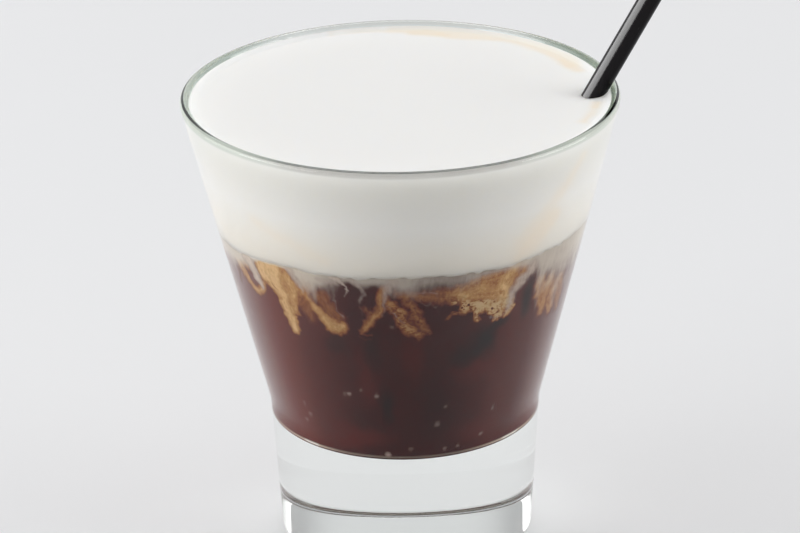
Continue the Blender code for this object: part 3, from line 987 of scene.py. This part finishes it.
def with_cool_milk(tree, color, place, fine, patchy):
    """Adds the pale milk, as a haze under the foam and in veils."""
    streaks = cloud(tree, place, HANGING_BLOTCHES)
    haze = frayed(tree, frayed(tree, field(tree, "haze"), streaks, 0.34), patchy, 0.34)
    misty = blend(tree, field(tree, "cream"), HAZE_GREY, HAZE_CREAMY)
    clouded = blend(tree, band(tree, haze, 0.02, 1.0), color, misty)
    veil = frayed(tree, frayed(tree, field(tree, "veil"), fine, 0.20), streaks, 0.35)
    cool = ramp(tree, veil, VEIL_SHADES)
    return blend(tree, times(tree, band(tree, veil, 0.02, 0.75), 0.92), clouded, cool)


def coffee_material():
    """Dark coffee, with the milk that was painted on its points."""
    material, tree, shader = new_material("iced_coffee")
    shader.inputs["Roughness"].default_value = 0.9
    shader.inputs["Specular IOR Level"].default_value = 0.0
    place = piece_place(tree)
    fine = cloud(tree, place, FINE_BLOTCHES)
    patchy = cloud(tree, place, PATCHY_BLOTCHES)
    color = drink_color(tree, place, patchy)
    color = with_warm_milk(tree, color, place, fine, patchy)
    color = with_cool_milk(tree, color, place, fine, patchy)
    tree.links.new(color, shader.inputs["Base Color"])
    return material


def foam_material():
    """Dense white foam that light enters, creamier down its side, its side painted darker than its top as
    shade, and faintly stained.
    """
    material, tree, shader = new_material("milk_foam")
    low = FOAM_SIDE_CREAM_AND_SHADE[0][0]
    high = FOAM_SIDE_CREAM_AND_SHADE[-1][0]
    _, _, height = split_vector(tree, piece_place(tree))
    level = band(tree, height, low, high, shape="LINEAR")
    side_cream_and_shade = ramp(tree, level, [((at - low) / (high - low), shade) for at, shade in FOAM_SIDE_CREAM_AND_SHADE])
    # the side painted darker than the top as shade, and creamier towards the drink
    color = blend(tree, field(tree, "side"), FOAM_TOP, side_cream_and_shade)
    color = blend(tree, field(tree, "stain"), color, FOAM_STAIN)
    tree.links.new(color, shader.inputs["Base Color"])
    shader.inputs["Subsurface Weight"].default_value = 1.0
    shader.inputs["Subsurface Radius"].default_value = (1.0, 0.97, 0.92)
    shader.inputs["Subsurface Scale"].default_value = FOAM_GLOW
    shader.inputs["Roughness"].default_value = 0.8
    shader.inputs["Specular IOR Level"].default_value = 0.2
    return material


def plain_material(name, color, roughness, specular):
    """One even colour all over."""
    material, _, shader = new_material(name)
    shader.inputs["Base Color"].default_value = (*color, 1.0)
    shader.inputs["Roughness"].default_value = roughness
    shader.inputs["Specular IOR Level"].default_value = specular
    return material


def straw_material():
    return plain_material("black_plastic", STRAW_BLACK, 0.22, 0.10)


def floor_material():
    return plain_material("pale_table", TABLE_WHITE, 0.9, 0.0)


# ---------------------------------------------------------------- stage

def build_floor():
    """A wide pale table."""
    bm = bmesh.new()
    bmesh.ops.create_grid(bm, x_segments=1, y_segments=1, size=TABLE_REACH)
    mesh = bpy.data.meshes.new("table")
    bm.to_mesh(mesh)
    bm.free()
    floor = bpy.data.objects.new("table", mesh)
    bpy.context.scene.collection.objects.link(floor)
    mesh.materials.append(floor_material())


def build_world():
    """A pale room, brightest at the back and dimmest in front, seen as one even colour."""
    world = bpy.data.worlds.new("pale_room")
    bpy.context.scene.world = world
    world.use_nodes = True
    tree = world.node_tree
    room = tree.nodes["Background"]
    where = tree.nodes.new("ShaderNodeTexCoord").outputs["Generated"]
    _, y, _ = split_vector(tree, where)
    front = band(tree, y, -0.95, -0.2, ROOM_FRONT, ROOM_SIDES)
    back = band(tree, y, 0.55, 0.85, 0.0, ROOM_BACK)
    tree.links.new(calculate(tree, "ADD", front, back), room.inputs["Strength"])
    feed(tree, room.inputs["Color"], ROOM_LIGHT)
    seen = tree.nodes.new("ShaderNodeBackground")
    feed(tree, seen.inputs["Color"], ROOM_SEEN)
    paths = tree.nodes.new("ShaderNodeLightPath")
    mix = tree.nodes.new("ShaderNodeMixShader")
    tree.links.new(paths.outputs["Is Camera Ray"], mix.inputs["Fac"])
    tree.links.new(room.outputs["Background"], mix.inputs[1])
    tree.links.new(seen.outputs["Background"], mix.inputs[2])
    tree.links.new(mix.outputs["Shader"], tree.nodes["World Output"].inputs["Surface"])


def softbox(name, place, aim, width, height, power, only=None):
    """A rectangular lamp, sized in metres and aimed at a point, which may light one piece alone."""
    lamp = bpy.data.lights.new(name, "AREA")
    lamp.shape = "RECTANGLE"
    lamp.size = width
    lamp.size_y = height
    lamp.energy = power
    holder = bpy.data.objects.new(name, lamp)
    bpy.context.scene.collection.objects.link(holder)
    holder.location = place
    holder.rotation_euler = (Vector(aim) - Vector(place)).to_track_quat("-Z", "Y").to_euler()
    if only:
        lit = bpy.data.collections.new(name + "_lit")
        lit.objects.link(only)
        holder.light_linking.receiver_collection = lit


def build_lights(straw):
    """The room's lamps, and two that give the straw its gloss."""
    for name, place, aim, width, height, power in ROOM_LAMPS:
        softbox(name, place, aim, width, height, power)
    for name, place, aim, width, height, power in STRAW_LAMPS:
        softbox(name, place, aim, width, height, power, only=straw)


def build_camera():
    """A long lens that looks slightly down on the glass from in front."""
    data = bpy.data.cameras.new("camera")
    data.sensor_width = CAMERA_SENSOR
    data.lens = CAMERA_LENS
    data.clip_start = CAMERA_NEAR
    camera = bpy.data.objects.new("camera", data)
    bpy.context.scene.collection.objects.link(camera)
    back = Vector((0.0, -math.cos(CAMERA_ELEVATION), math.sin(CAMERA_ELEVATION)))
    place = Matrix.Translation(CAMERA_AIM + back * CAMERA_DISTANCE)
    tilt = Matrix.Rotation(math.pi / 2.0 - CAMERA_ELEVATION, 4, "X")
    camera.matrix_world = place @ tilt @ Matrix.Rotation(CAMERA_ROLL, 4, "Z")
    bpy.context.scene.camera = camera


def main():
    """Dresses the stage and each piece."""
    bpy.context.scene.view_settings.view_transform = "Standard"
    build_world()
    build_floor()
    build_camera()
    build_glass(glass_material())
    build_coffee(coffee_material())
    build_foam(foam_material())
    straw = build_straw(straw_material())
    build_lights(straw)


main()
